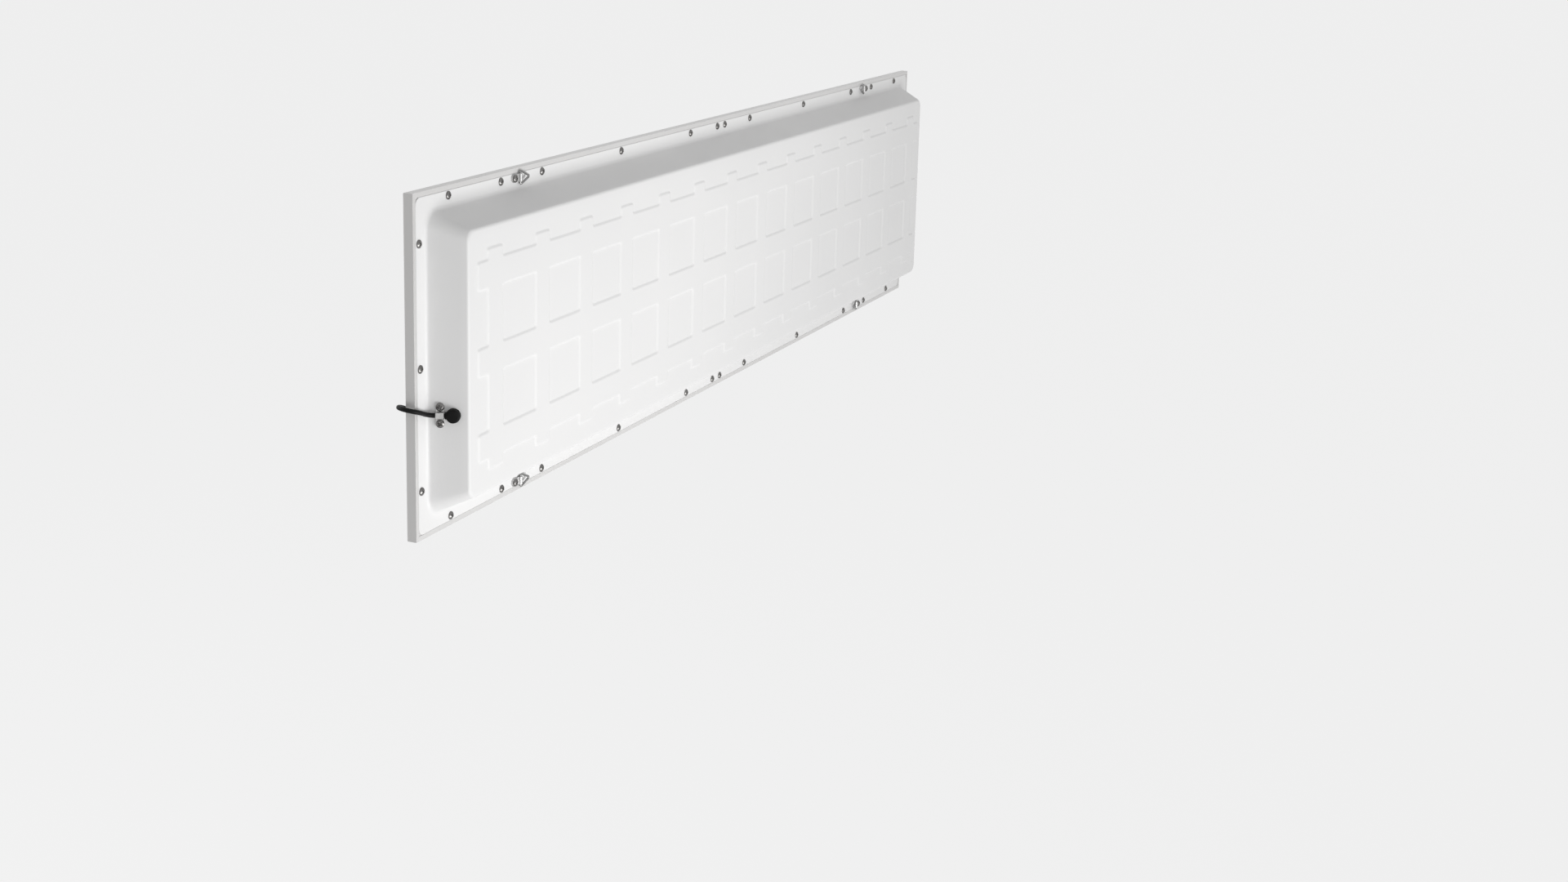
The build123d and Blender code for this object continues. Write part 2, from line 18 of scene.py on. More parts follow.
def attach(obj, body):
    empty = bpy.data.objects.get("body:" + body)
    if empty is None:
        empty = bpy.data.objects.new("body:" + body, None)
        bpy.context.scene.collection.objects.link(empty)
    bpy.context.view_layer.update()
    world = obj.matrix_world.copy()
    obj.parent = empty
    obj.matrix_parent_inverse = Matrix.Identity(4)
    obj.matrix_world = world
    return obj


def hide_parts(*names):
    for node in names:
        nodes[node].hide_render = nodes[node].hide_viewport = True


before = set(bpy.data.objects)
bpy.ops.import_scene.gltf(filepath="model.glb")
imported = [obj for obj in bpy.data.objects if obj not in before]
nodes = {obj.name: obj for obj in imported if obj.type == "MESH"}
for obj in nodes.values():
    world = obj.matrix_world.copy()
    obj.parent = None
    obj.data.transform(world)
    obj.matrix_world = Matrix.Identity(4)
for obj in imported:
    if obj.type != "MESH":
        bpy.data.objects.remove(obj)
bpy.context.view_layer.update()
mm = 0.001

# %% [markdown]
# ## The camera
#
# The panel is seen from behind and a little above, from its cord end, so that its length runs away
# from us. A camera's place and its three directions can be written down directly. The lens follows
# from the field of view, and the small vertical shift slides the picture without tilting the camera,
# which keeps the panel's short sides nearly upright.

# %% Camera
camera_place = Vector((1.9784, 0.9066, 0.4181))
looks_along = Vector((-0.9026, -0.3733, -0.2146)).normalized()
right_hint = Vector((-0.3876, 0.9214, 0.0275))
camera_up = right_hint.cross(looks_along).normalized()
camera_right = looks_along.cross(camera_up).normalized()
camera_data = bpy.data.cameras.new("studio_camera")
camera_data.lens = 46.82
camera_data.shift_y = -0.085
camera_data.clip_end = 100
camera = bpy.data.objects.new("studio_camera", camera_data)
turn = Matrix((camera_right, camera_up, -looks_along)).transposed()
camera.matrix_world = Matrix.Translation(camera_place) @ turn.to_4x4()
bpy.context.scene.collection.objects.link(camera)
bpy.context.scene.camera = camera
print("lens", camera_data.lens, "shift", camera_data.shift_y)

# %% [markdown]
# ## The supply cord
#
# The cord is a short lead of 4 mm round flex. It leaves a rubber grommet on the sloped end wall, runs
# under a saddle clip, bends over the frame's end and hangs in front of it with its plug. A cord is a
# fixed length of something springy, so a smooth spline through a few guiding points suits it better
# than straight runs joined by arcs. A spline of order 3 bends evenly between its control points.

# %% Cord
cord_radius = 2.0 * mm
cord_route = np.array([
    (574.995, 24.176, -41.0),
    (579.240, 15.121, -41.0),
    (586.2, 12.1, -38.8),
    (594.3, 13.6, -35.4),
    (601.8, 11.3, -32.8),
    (605.2, 4.0, -31.2),
    (602.3, -3.7, -31.0),
    (594.9, -6.9, -32.5),
    (586.0, -5.9, -36.2),
    (577.6, -4.4, -43.8),
    (571.4, -3.4, -56.0),
    (568.4, -4.0, -71.0),
    (567.2, -5.3, -87.0),
]) * mm


def cord_curve(name, route, radius):
    """Round cord: a circle of the given radius carried along an order 3 spline over the route's points."""
    data = bpy.data.curves.new(name, "CURVE")
    data.dimensions = "3D"
    spline = data.splines.new("NURBS")
    spline.points.add(len(route) - 1)
    for point, place in zip(spline.points, route):
        point.co = (*place, 1.0)
    spline.order_u = 3
    spline.use_endpoint_u = True
    spline.resolution_u = 14
    data.bevel_depth = radius
    data.bevel_resolution = 6
    data.use_fill_caps = True
    piece = bpy.data.objects.new(name, data)
    bpy.context.scene.collection.objects.link(piece)
    return piece


supply_cord = cord_curve("supply_cord", cord_route, cord_radius)
print("cord control points", len(cord_route))

# %% [markdown]
# ## Light and stage
#
# The room is a plain studio: a pale floor well below the panel, an even pale surround, and a few
# large soft lamps. The surround is shown to the camera, to mirrors and to glass as a plain pale grey,
# while its light on the object is set apart from that. The strongest lamps stand low, so the pan's
# upward wall falls into shade and its pressed bars show by their edges.

# %% Surround and floor
pale = (0.879, 0.879, 0.879, 1.0)
surround_light = 0.46


def seen_directly(tree):
    """1 for a ray from the camera, a mirror or glass, and 0 for one that lights a matt surface."""
    path = tree.nodes.new("ShaderNodeLightPath")
    first = tree.nodes.new("ShaderNodeMath")
    first.operation = "MAXIMUM"
    second = tree.nodes.new("ShaderNodeMath")
    second.operation = "MAXIMUM"
    tree.links.new(path.outputs["Is Camera Ray"], first.inputs[0])
    tree.links.new(path.outputs["Is Glossy Ray"], first.inputs[1])
    tree.links.new(first.outputs[0], second.inputs[0])
    tree.links.new(path.outputs["Is Transmission Ray"], second.inputs[1])
    return second.outputs[0]


world = bpy.data.worlds.new("studio_surround")
bpy.context.scene.world = world
world.use_nodes = True
tree = world.node_tree
tree.nodes.clear()
lit = tree.nodes.new("ShaderNodeBackground")
lit.inputs["Color"].default_value = (1, 1, 1, 1)
lit.inputs["Strength"].default_value = surround_light
shown = tree.nodes.new("ShaderNodeBackground")
shown.inputs["Color"].default_value = pale
shown.inputs["Strength"].default_value = 1.0
direct = seen_directly(tree)
blend = tree.nodes.new("ShaderNodeMixShader")
output = tree.nodes.new("ShaderNodeOutputWorld")
tree.links.new(direct, blend.inputs[0])
tree.links.new(lit.outputs[0], blend.inputs[1])
tree.links.new(shown.outputs[0], blend.inputs[2])
tree.links.new(blend.outputs[0], output.inputs["Surface"])

floor_z = -1.3
floor_mesh = bpy.data.meshes.new("studio_floor")
floor_mesh.from_pydata(
    [(-40, -40, floor_z), (40, -40, floor_z), (40, 40, floor_z), (-40, 40, floor_z)], [], [(0, 1, 2, 3)]
)
studio_floor = bpy.data.objects.new("studio_floor", floor_mesh)
bpy.context.scene.collection.objects.link(studio_floor)
floor_paint = bpy.data.materials.new("floor_paint")
floor_paint.use_nodes = True
tree = floor_paint.node_tree
tree.nodes.clear()
matt = tree.nodes.new("ShaderNodeBsdfDiffuse")
matt.inputs["Color"].default_value = (0.8, 0.8, 0.8, 1)
glow = tree.nodes.new("ShaderNodeEmission")
glow.inputs["Color"].default_value = (0.945, 0.945, 0.945, 1.0)
glow.inputs["Strength"].default_value = 1.0
share = tree.nodes.new("ShaderNodeMath")
share.operation = "MULTIPLY"
share.inputs[1].default_value = 0.85
direct = seen_directly(tree)
blend = tree.nodes.new("ShaderNodeMixShader")
output = tree.nodes.new("ShaderNodeOutputMaterial")
tree.links.new(direct, share.inputs[0])
tree.links.new(share.outputs[0], blend.inputs[0])
tree.links.new(matt.outputs[0], blend.inputs[1])
tree.links.new(glow.outputs[0], blend.inputs[2])
tree.links.new(blend.outputs[0], output.inputs["Surface"])
floor_mesh.materials.append(floor_paint)


def soft_lamp(name, place, target, size, watts, spread):
    """Square area lamp at a place, aimed at a target; its light stays within the spread in degrees."""
    data = bpy.data.lights.new(name, "AREA")
    data.shape = "SQUARE"
    data.size = size
    data.energy = watts
    data.spread = np.radians(spread)
    lamp = bpy.data.objects.new(name, data)
    lamp.location = place
    direction = Vector(target) - Vector(place)
    lamp.rotation_euler = direction.to_track_quat("-Z", "Y").to_euler()
    lamp.visible_camera = False
    bpy.context.scene.collection.objects.link(lamp)
    return lamp


soft_lamp("low_key", (0.62, 1.85, -0.95), (0.45, 0.04, 0.0), 1.3, 15, 110)
soft_lamp("front_key", (0.9, -2.6, 1.2), (0.0, 0.0, 0.0), 1.8, 30, 180)

# %% [markdown]
# ## Surface effects shared by the finishes
#
# Real finishes are never one flat colour. Powder coat has a fine orange peel, drawn metal has long
# grain, and everything carries a broad, faint unevenness. Each effect is a node group with named
# inputs, built once and used by many materials with other values. All of them read Object
# coordinates, which are the panel's own metres, so a pattern has a true size and stays in place.

# %% Node groups
def effect_group(name, numbers, vector_inputs=()):
    """An empty shader group: float inputs with their defaults, any vector inputs and one float output."""
    group = bpy.data.node_groups.new(name, "ShaderNodeTree")
    for label, value in numbers.items():
        socket = group.interface.new_socket(label, in_out="INPUT", socket_type="NodeSocketFloat")
        socket.default_value = value
    for label in vector_inputs:
        socket = group.interface.new_socket(label, in_out="INPUT", socket_type="NodeSocketVector")
        socket.default_value = (1.0, 1.0, 1.0)
    group.interface.new_socket("Value", in_out="OUTPUT", socket_type="NodeSocketFloat")
    inner = group.nodes.new("NodeGroupInput")
    outer = group.nodes.new("NodeGroupOutput")
    return group, inner, outer


def ranged(group, inner, value, outer):
    """Sends a 0.3 to 0.7 pattern value to the group's output, stretched between its Low and High inputs."""
    spread = group.nodes.new("ShaderNodeMapRange")
    spread.inputs["From Min"].default_value = 0.3
    spread.inputs["From Max"].default_value = 0.7
    group.links.new(value, spread.inputs["Value"])
    group.links.new(inner.outputs["Low"], spread.inputs["To Min"])
    group.links.new(inner.outputs["High"], spread.inputs["To Max"])
    group.links.new(spread.outputs["Result"], outer.inputs[0])


# broad cloudy unevenness
mottle, inner, outer = effect_group("mottle", {"Scale": 6.0, "Detail": 3.0, "Low": 0.0, "High": 1.0})
where = mottle.nodes.new("ShaderNodeTexCoord")
cloud = mottle.nodes.new("ShaderNodeTexNoise")
mottle.links.new(where.outputs["Object"], cloud.inputs["Vector"])
mottle.links.new(inner.outputs["Scale"], cloud.inputs["Scale"])
mottle.links.new(inner.outputs["Detail"], cloud.inputs["Detail"])
ranged(mottle, inner, cloud.outputs["Fac"], outer)

# grain drawn out along one direction
drawn_grain, inner, outer = effect_group(
    "drawn_grain", {"Scale": 900.0, "Low": 0.0, "High": 1.0}, vector_inputs=("Stretch",)
)
where = drawn_grain.nodes.new("ShaderNodeTexCoord")
squeeze = drawn_grain.nodes.new("ShaderNodeVectorMath")
squeeze.operation = "MULTIPLY"
streak = drawn_grain.nodes.new("ShaderNodeTexNoise")
streak.inputs["Detail"].default_value = 2.0
drawn_grain.links.new(where.outputs["Object"], squeeze.inputs[0])
drawn_grain.links.new(inner.outputs["Stretch"], squeeze.inputs[1])
drawn_grain.links.new(squeeze.outputs[0], streak.inputs["Vector"])
drawn_grain.links.new(inner.outputs["Scale"], streak.inputs["Scale"])
ranged(drawn_grain, inner, streak.outputs["Fac"], outer)

# closed cells: foam bubbles, zinc spangles and fine moulding texture
cells, inner, outer = effect_group("cells", {"Scale": 500.0, "Low": 0.0, "High": 1.0})
where = cells.nodes.new("ShaderNodeTexCoord")
bubble = cells.nodes.new("ShaderNodeTexVoronoi")
cells.links.new(where.outputs["Object"], bubble.inputs["Vector"])
cells.links.new(inner.outputs["Scale"], bubble.inputs["Scale"])
ranged(cells, inner, bubble.outputs["Distance"], outer)
print("groups", [g.name for g in bpy.data.node_groups])

# %% [markdown]
# ## One recipe for a matt or metal finish
#
# Most finishes here differ only in their numbers: two close colours mixed by a broad mottle, a
# roughness that varies a little, and a fine relief through a Bump node. A function that wires this
# once keeps every finish consistent. The Principled BSDF stays in the material itself, so that an
# export can read it. Special finishes, such as the opal plate, add to it afterwards.

# %% Finish recipe
along_x = (0.012, 1.0, 1.0)
along_z = (1.0, 1.0, 0.012)


def place_group(tree, group, **values):
    """Adds a shared effect to a material and sets its named inputs; returns its output."""
    node = tree.nodes.new("ShaderNodeGroup")
    node.node_tree = group
    for label, value in values.items():
        node.inputs[label].default_value = value
    return node.outputs[0]


def finish(name, light, dark, rough, relief, metallic=0.0, patch=5.0, grain=None):
    """Material: colour mottles from light to dark, roughness from rough[0] to rough[1], and a relief of
    (effect group, scale, height in metres) under the gloss. Grain, if given, is a stretch direction."""
    material = bpy.data.materials.new(name)
    material.use_nodes = True
    tree = material.node_tree
    shader = tree.nodes["Principled BSDF"]
    shader.inputs["Metallic"].default_value = metallic
    blend = tree.nodes.new("ShaderNodeMix")
    blend.data_type = "RGBA"
    blend.inputs["A"].default_value = (*light, 1.0)
    blend.inputs["B"].default_value = (*dark, 1.0)
    tree.links.new(place_group(tree, mottle, Scale=patch, Detail=4.0), blend.inputs["Factor"])
    tree.links.new(blend.outputs["Result"], shader.inputs["Base Color"])
    if grain:
        gloss = place_group(tree, drawn_grain, Stretch=grain, Low=rough[0], High=rough[1])
    else:
        gloss = place_group(tree, mottle, Scale=patch * 7, Detail=5.0, Low=rough[0], High=rough[1])
    tree.links.new(gloss, shader.inputs["Roughness"])
    effect, scale, height = relief
    bump = tree.nodes.new("ShaderNodeBump")
    bump.inputs["Strength"].default_value = 0.6
    bump.inputs["Distance"].default_value = height
    extra = {"Stretch": grain} if effect is drawn_grain else {}
    tree.links.new(place_group(tree, effect, Scale=scale, **extra), bump.inputs["Height"])
    tree.links.new(bump.outputs["Normal"], shader.inputs["Normal"])
    return material


def grey(value, warmth=0.0):
    """A grey of this linear value, a little redder and less blue by its warmth."""
    return (value * (1 + warmth), value, value * (1 - warmth))


# %% [markdown]
# ## The finishes
#
# White powder coat covers the pan: a hard satin paint, melted from powder, with an orange peel about
# a millimetre across. The rails are satin silver extrusions, whose grain runs along each rail, so it
# changes direction at the mitres. The small fittings are zinc and dark nickel plate, and the cord's
# parts are black flexible plastics with different gloss.

# %% Metals and paints
powder_coat = finish(
    "white_powder_coat", grey(0.86, 0.004), grey(0.815, 0.002), (0.38, 0.50), (mottle, 820.0, 0.00004),
    patch=2.6,
)
silver_long = finish(
    "satin_silver_long", grey(0.72, 0.008), grey(0.66, 0.012), (0.34, 0.46),
    (drawn_grain, 2600.0, 0.000012),
    metallic=0.25, patch=3.0, grain=along_x,
)
silver_short = finish(
    "satin_silver_short", grey(0.70, 0.008), grey(0.64, 0.012), (0.34, 0.46),
    (drawn_grain, 2600.0, 0.000012),
    metallic=0.25, patch=3.0, grain=along_z,
)
dark_nickel = finish(
    "dark_nickel_plate", grey(0.22, 0.02), grey(0.14, 0.03), (0.22, 0.40), (mottle, 1800.0, 0.00001),
    metallic=1.0, patch=300.0,
)
zinc_sheet = finish(
    "zinc_plated_sheet", grey(0.60, 0.01), grey(0.44, 0.0), (0.26, 0.42), (cells, 700.0, 0.000012),
    metallic=1.0, patch=220.0,
)
zinc_wire = finish(
    "zinc_plated_wire", grey(0.34, 0.01), grey(0.22, 0.0), (0.22, 0.36), (mottle, 2400.0, 0.00001),
    metallic=1.0, patch=260.0,
)
key_steel = finish(
    "galvanised_key_steel", grey(0.52), grey(0.40), (0.35, 0.55), (cells, 400.0, 0.00002),
    metallic=1.0, patch=90.0,
)
contact_nickel = finish(
    "bright_nickel", grey(0.70, 0.02), grey(0.60, 0.02), (0.14, 0.24), (mottle, 2000.0, 0.000005),
    metallic=1.0, patch=300.0,
)

# %% Plastics, rubber and boards
black_rubber = finish(
    "black_rubber", grey(0.006), grey(0.011), (0.50, 0.66), (cells, 1500.0, 0.00002), patch=90.0
)
cord_sheath = finish(
    "cord_sheath", grey(0.005), grey(0.009), (0.40, 0.54), (mottle, 1300.0, 0.00002), patch=120.0
)
plug_black = finish(
    "plug_moulding", grey(0.005), grey(0.010), (0.36, 0.50), (cells, 1900.0, 0.000012), patch=80.0
)
for rubbery, gloss_level in ((black_rubber, 0.10), (cord_sheath, 0.12), (plug_black, 0.16)):
    rubbery.node_tree.nodes["Principled BSDF"].inputs["Specular IOR Level"].default_value = gloss_level
seal_foam = finish("seal_foam", grey(0.10), grey(0.06), (0.85, 0.97), (cells, 2600.0, 0.00015), patch=400.0)
white_board = finish(
    "solder_mask_white", grey(0.80, 0.01), grey(0.74, 0.01), (0.30, 0.42), (mottle, 900.0, 0.00001)
)
thermal_tape = finish(
    "thermal_tape", grey(0.66), grey(0.58), (0.6, 0.8), (drawn_grain, 1200.0, 0.00002), grain=along_x
)
phosphor = finish(
    "led_phosphor", (0.88, 0.62, 0.08), (0.80, 0.52, 0.05), (0.35, 0.5), (cells, 5000.0, 0.00001),
    patch=900.0,
)
connector_nylon = finish(
    "connector_nylon", (0.78, 0.74, 0.64), (0.72, 0.68, 0.58), (0.42, 0.55), (cells, 1800.0, 0.00001),
    patch=150.0,
)
reflector_film = finish(
    "reflector_film", grey(0.90), grey(0.87), (0.55, 0.70), (mottle, 1400.0, 0.00001), patch=8.0
)
wire_jacket = finish(
    "wire_jacket", grey(0.78), grey(0.70), (0.35, 0.5), (mottle, 1500.0, 0.00001), patch=200.0
)
lens_resin = finish(
    "lens_resin", grey(0.97), grey(0.94), (0.04, 0.09), (mottle, 600.0, 0.000004), patch=60.0
)
lens_resin.node_tree.nodes["Principled BSDF"].inputs["Transmission Weight"].default_value = 1.0

# %% [markdown]
# ## The opal plate
#
# The front is a plate of milky plastic with lenses and chips behind it, so the whole face glows. A
# model of the light inside would be slow and noisy. The plate itself sends out light instead, almost
# evenly, with a faint broad cloudiness, over a satin surface with a very fine texture.

# %% Opal plate finish
opal = finish("opal_plate", grey(0.90), grey(0.87), (0.42, 0.5), (cells, 2500.0, 0.00001), patch=4.0)
tree = opal.node_tree
shader = tree.nodes["Principled BSDF"]
glow_mix = tree.nodes.new("ShaderNodeMix")
glow_mix.data_type = "RGBA"
glow_mix.inputs["A"].default_value = (1.0, 1.0, 1.0, 1.0)
glow_mix.inputs["B"].default_value = (0.965, 0.97, 0.975, 1.0)
tree.links.new(place_group(tree, mottle, Scale=7.0, Detail=1.0), glow_mix.inputs["Factor"])
tree.links.new(glow_mix.outputs["Result"], shader.inputs["Emission Color"])
shader.inputs["Emission Strength"].default_value = 0.9
print("materials", len(bpy.data.materials))


# %% Dress the CAD nodes that keep their shape
def dress(material, *names):
    """Gives each named CAD node this material in place of the one it was packed with."""
    for name in names:
        nodes[name].data.materials.clear()
        nodes[name].data.materials.append(material)


corner_names = ["bottom_left", "bottom_right", "top_left", "top_right"]
dress(silver_long, "frame_rail_bottom", "frame_rail_top")
dress(silver_short, "frame_rail_left", "frame_rail_right")
dress(key_steel, *[f"corner_key_{corner}" for corner in corner_names])
dress(opal, "diffuser_plate")
dress(seal_foam, "foam_seal")
dress(white_board, "led_strip_bottom", "led_strip_middle", "led_strip_top")
dress(thermal_tape, "strip_tapes")
dress(phosphor, "led_chips")
dress(lens_resin, "led_lenses")
dress(connector_nylon, "strip_connectors")
dress(reflector_film, "reflector_sheet")
dress(wire_jacket, "jumper_wires", "supply_wires")
dress(contact_nickel, "plug_barrel", "plug_contact")

# %% [markdown]
# ## From arrays to meshes
#
# The new pieces are surfaces: a grid of points worked out as whole numpy arrays. A shell is such a
# grid, wrapped round in one direction and closed at its two ends. One function joins any number of
# shells into a mesh, merges the doubled points at poles, turns all faces outwards and keeps the edges
# sharper than 38 degrees crisp. Other ways would be Blender's own screw and curve tools, but a
# formula keeps every size in one place and can be checked.

# %% Mesh helpers
def grid_faces(rows, columns, wrap):
    """Quads of a rows x columns grid, as point numbers; wrap joins the last column to the first."""
    last = columns if wrap else columns - 1
    r, c = np.meshgrid(np.arange(rows - 1), np.arange(last), indexing="ij")
    d = (c + 1) % columns
    row, above = r * columns, (r + 1) * columns
    return np.stack([row + c, row + d, above + d, above + c], -1).reshape(-1, 4)


def mesh_piece(name, points, faces, material, body, slot, smooth_below=38.0, closed=True):
    """An object from points and quads: doubles merged, faces outward, smooth except at sharper edges."""
    mesh = bpy.data.meshes.new(name)
    mesh.from_pydata(points.tolist(), [], faces.tolist())
    work = bmesh.new()
    work.from_mesh(mesh)
    bmesh.ops.remove_doubles(work, verts=work.verts, dist=2e-6)
    bmesh.ops.dissolve_degenerate(work, edges=work.edges, dist=1e-6)
    if closed:
        bmesh.ops.recalc_face_normals(work, faces=work.faces)
    work.to_mesh(mesh)
    work.free()
    mesh.polygons.foreach_set("use_smooth", np.ones(len(mesh.polygons), dtype=bool))
    mesh.set_sharp_from_angle(angle=np.radians(smooth_below))
    mesh.materials.append(material)
    piece = bpy.data.objects.new(name, mesh)
    bpy.context.scene.collection.objects.link(piece)
    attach(piece, body)
    return piece


def joined(grids, wrap=True):
    """Points and quads of several grids, each of shape (rows, columns, 3), numbered one after another."""
    points, faces, start = [], [], 0
    for grid in grids:
        rows, columns = grid.shape[:2]
        points.append(grid.reshape(-1, 3))
        faces.append(grid_faces(rows, columns, wrap) + start)
        start += rows * columns
    return np.concatenate(points), np.concatenate(faces)


def unit(vector):
    """The vector divided by its length, along the last axis."""
    vector = np.asarray(vector, dtype=float)
    return vector / np.linalg.norm(vector, axis=-1, keepdims=True)


# %% [markdown]
# ## The pressed back pan
#
# The pan is one sheet of steel, deep drawn in a press: a flat flange, four sloped walls that meet in
# conical corners, a plateau, and a grid of raised bars that stiffens it and seats the LED strips.
# Pressing never leaves a crisp corner, and that softness is what the light shows. The skin is built
# from rounded rectangles at growing inset, which follow the flange, the bend, the wall and the upper
# bend. The last of them joins a plain grid of lines over the plateau, spaced closely where a bar's
# edge needs it. A distance formula gives each grid point its height.

# %% Pan sizes
half_length, half_height = 597.5 * mm, 147.5 * mm
flange_depth, plateau_rise = 9.5 * mm, 32.0 * mm
flange_inset, base_inset, plateau_inset = 4.4 * mm, 18.0 * mm, 33.0 * mm
sheet = 0.6 * mm
bar_half, bar_height = 12.0 * mm, 1.2 * mm
ledge_soft, side_soft, soft_corner = 1.6 * mm, 3.6 * mm, 1.1
column_x = (np.arange(14) - 6.5) * 80.5 * mm
row_z = (np.arange(3) - 1) * 74.0 * mm
row_reach, column_reach = 551.05 * mm, 95.8 * mm
grid_x, grid_z, corner_band = 557.0 * mm, 107.0 * mm, 4.0 * mm


# %% Bars of the plateau
def rounded_box(dx, dz, half_x, half_z, radius):
    """Distance outside a rounded rectangle: the overshoot past its straight core, less the radius."""
    over_x, over_z = np.abs(dx) - (half_x - radius), np.abs(dz) - (half_z - radius)
    outside = np.hypot(np.maximum(over_x, 0), np.maximum(over_z, 0))
    return outside + np.minimum(np.maximum(over_x, over_z), 0) - radius


def round_union(first, second, radius):
    """Distance to two shapes together with a fillet where they meet: the smaller of the two, less what a
    circle of the radius takes off where both are near."""
    near_a, near_b = np.maximum(radius - first, 0), np.maximum(radius - second, 0)
    return np.maximum(radius, np.minimum(first, second)) - np.hypot(near_a, near_b)


def smooth_step(value):
    """3t^2 - 2t^3 for t held between 0 and 1."""
    t = np.clip(value, 0, 1)
    return t * t * (3 - 2 * t)


def bar_relief(x, z):
    """Height of the bars at each point: full inside the union of rows and columns, falling over its edge.
    Lengths are divided by a softness first: the press leaves the ledges up and down crisper than the sides."""
    row_offset = z - row_z[np.abs(z[..., None] - row_z).argmin(-1)]
    column_offset = x - column_x[np.abs(x[..., None] - column_x).argmin(-1)]
    across, up = x / side_soft, row_offset / ledge_soft
    rows = rounded_box(across, up, row_reach / side_soft, bar_half / ledge_soft, soft_corner)
    across, up = column_offset / side_soft, z / ledge_soft
    columns = rounded_box(across, up, bar_half / side_soft, column_reach / ledge_soft, soft_corner)
    edge = round_union(rows, columns, 1.0)
    return bar_height * smooth_step(0.5 - edge)


def plateau_swell(x, z):
    """Slight unevenness of large pressed sheet: three slow waves, 0.13 mm at most, fading to the border."""
    waves = np.sin(11 * x + 1.3) * np.cos(23 * z - 0.4)
    waves = waves + 0.6 * np.sin(29 * x - 17 * z) + 0.5 * np.cos(47 * x + 9 * z + 2.0)
    border = smooth_step((grid_x - np.abs(x)) / 0.03) * smooth_step((grid_z - np.abs(z)) / 0.03)
    return 0.06 * mm * waves * border


def lines_over(edges, limit):
    """Sorted grid lines: eight round each edge, the corner bands at both ends, and the middles of wide gaps."""
    around = np.array([-4.2, -2.5, -1.4, -0.5, 0.5, 1.4, 2.5, 4.2]) * mm
    band = np.linspace(limit - corner_band, limit, 6)
    lines = np.concatenate([(np.asarray(edges)[:, None] + around).ravel(), band, -band])
    lines = np.unique(np.round(lines, 7))
    gaps = np.diff(lines)
    middles = lines[:-1][gaps > 9 * mm] + gaps[gaps > 9 * mm] / 2
    return np.unique(np.concatenate([lines, middles]))


edge_x = np.concatenate([column_x - bar_half, column_x + bar_half, [-row_reach, row_reach]])
edge_z = np.concatenate([row_z - bar_half, row_z + bar_half, [-column_reach, column_reach]])
line_x, line_z = lines_over(edge_x, grid_x), lines_over(edge_z, grid_z)
plan_x, plan_z = np.meshgrid(line_x, line_z, indexing="ij")
plateau_depth = flange_depth + plateau_rise + bar_relief(plan_x, plan_z) + plateau_swell(plan_x, plan_z)
plateau = np.stack([plan_x, plateau_depth, plan_z], -1)
print("plateau grid", plateau.shape)


# %% Flange, bends and walls
def bend_points(before, corner, after, radius, steps):
    """Fillet at a corner of a profile: tangent length = radius x tan(half the turn), then an even arc."""
    way_in, way_out = unit(np.subtract(corner, before)), unit(np.subtract(after, corner))
    turn_angle = np.arccos(way_in @ way_out)
    start = corner - way_in * radius * np.tan(turn_angle / 2)
    side = np.array([-way_in[1], way_in[0]]) * np.sign(way_in[0] * way_out[1] - way_in[1] * way_out[0])
    centre = start + side * radius
    angles = np.linspace(0, turn_angle, steps)[:, None]
    return centre - side * radius * np.cos(angles) + way_in * radius * np.sin(angles)


def pan_profile():
    """Rows of (inset, depth) from the flange's edge up to the plateau, with the two bends rounded."""
    foot = np.array([base_inset, flange_depth])
    brow = np.array([plateau_inset, flange_depth + plateau_rise])
    flange = np.stack([np.array([4.4, 5.0, 8.0, 12.0]) * mm, np.full(4, flange_depth)], -1)
    lower = bend_points(flange[-1], foot, brow, 5.0 * mm, 7)
    upper = bend_points(foot, brow, brow + np.array([0.01, 0.0]), 3.8 * mm, 7)
    share = np.linspace(0, 1, 6)[1:-1, None]
    wall = lower[-1] + (upper[0] - lower[-1]) * share
    return np.concatenate([flange, lower, wall, upper])


def border_loop(nx, nz):
    """Row and column numbers of the plateau grid's border, once round."""
    up_x, up_z = np.arange(nx), np.arange(1, nz)
    i = np.concatenate([up_x, np.full(nz - 1, nx - 1), up_x[-2::-1], np.zeros(nz - 2, int)])
    j = np.concatenate([np.zeros(nx, int), up_z, np.full(nx - 1, nz - 1), up_z[-2::-1]])
    return i, j


def ring_at(x, z, inset, radius):
    """Moves border points to a rounded rectangle at an inset. Points on a straight side keep their share
    of it, and those in the corner band spread evenly over the corner's arc."""
    core_x, core_z = half_length - inset - radius, half_height - inset - radius
    on_long = np.abs(np.abs(z) - grid_z) < 1e-6
    inner_x, inner_z = grid_x - corner_band, grid_z - corner_band
    angle_x = np.clip((np.abs(x) - inner_x) / corner_band, 0, 1) * np.pi / 4
    angle_z = np.clip((np.abs(z) - inner_z) / corner_band, 0, 1) * np.pi / 4
    straight_x = np.clip(x / inner_x, -1, 1) * core_x
    straight_z = np.clip(z / inner_z, -1, 1) * core_z
    long_x = straight_x + np.sign(x) * radius * np.sin(angle_x)
    long_z = np.sign(z) * (core_z + radius * np.cos(angle_x))
    short_x = np.sign(x) * (core_x + radius * np.cos(angle_z))
    short_z = straight_z + np.sign(z) * radius * np.sin(angle_z)
    return np.where(on_long, long_x, short_x), np.where(on_long, long_z, short_z)


